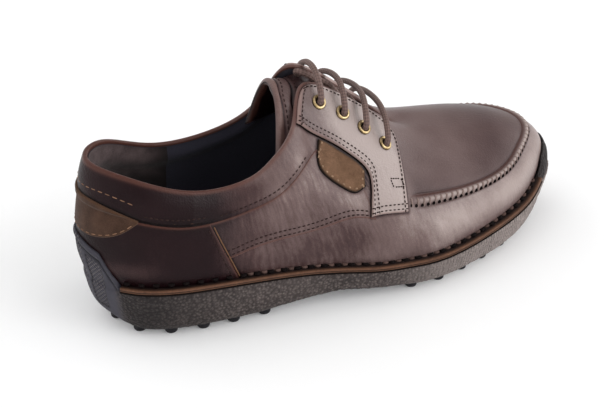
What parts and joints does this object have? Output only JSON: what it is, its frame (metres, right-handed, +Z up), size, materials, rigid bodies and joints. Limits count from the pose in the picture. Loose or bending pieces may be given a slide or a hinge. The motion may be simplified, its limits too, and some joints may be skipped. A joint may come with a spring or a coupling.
{
  "type": "lace-up shoe",
  "caption": "Right lace-up leather shoe with a padded collar, apron toe, nubuck patches, brass eyelets and a studded rubber sole that wraps the heel and toe.",
  "frame": {"origin": "centre of the shoe's outline seen from above, on the floor under the studs", "axes": "+X towards the toe, +Y towards the medial (inner) side of this right shoe, +Z up"},
  "size_m": [0.2996, 0.1172, 0.1222],
  "materials": {
    "leather": "burnished semi-gloss brown",
    "nubuck": "napped matt olive brown",
    "rubber": "coarse crepe grain, dark grey brown",
    "welt_leather": "light brown cut edge",
    "lining": "blue-black cloth",
    "brass": "antique, satin",
    "lace": "round waxed cord, brown grey"
  },
  "bodies": {
    "root": {"outsole": "rubber", "welt_lateral": "welt_leather", "welt_medial": "welt_leather", "insole": "lining", "upper": "leather", "tongue": "leather", "eyestay_lateral": "leather", "eyestay_medial": "leather", "quarter_patch": "nubuck", "heel_patch": "nubuck", "eyelet_lateral_1": "brass", "eyelet_lateral_2": "brass", "eyelet_lateral_3": "brass", "eyelet_lateral_4": "brass", "eyelet_medial_1": "brass", "eyelet_medial_2": "brass", "eyelet_medial_3": "brass", "eyelet_medial_4": "brass", "lace_bar_1": "lace", "lace_bar_2": "lace", "lace_bar_3": "lace", "lace_bar_4": "lace"}
  },
  "joints": []
}
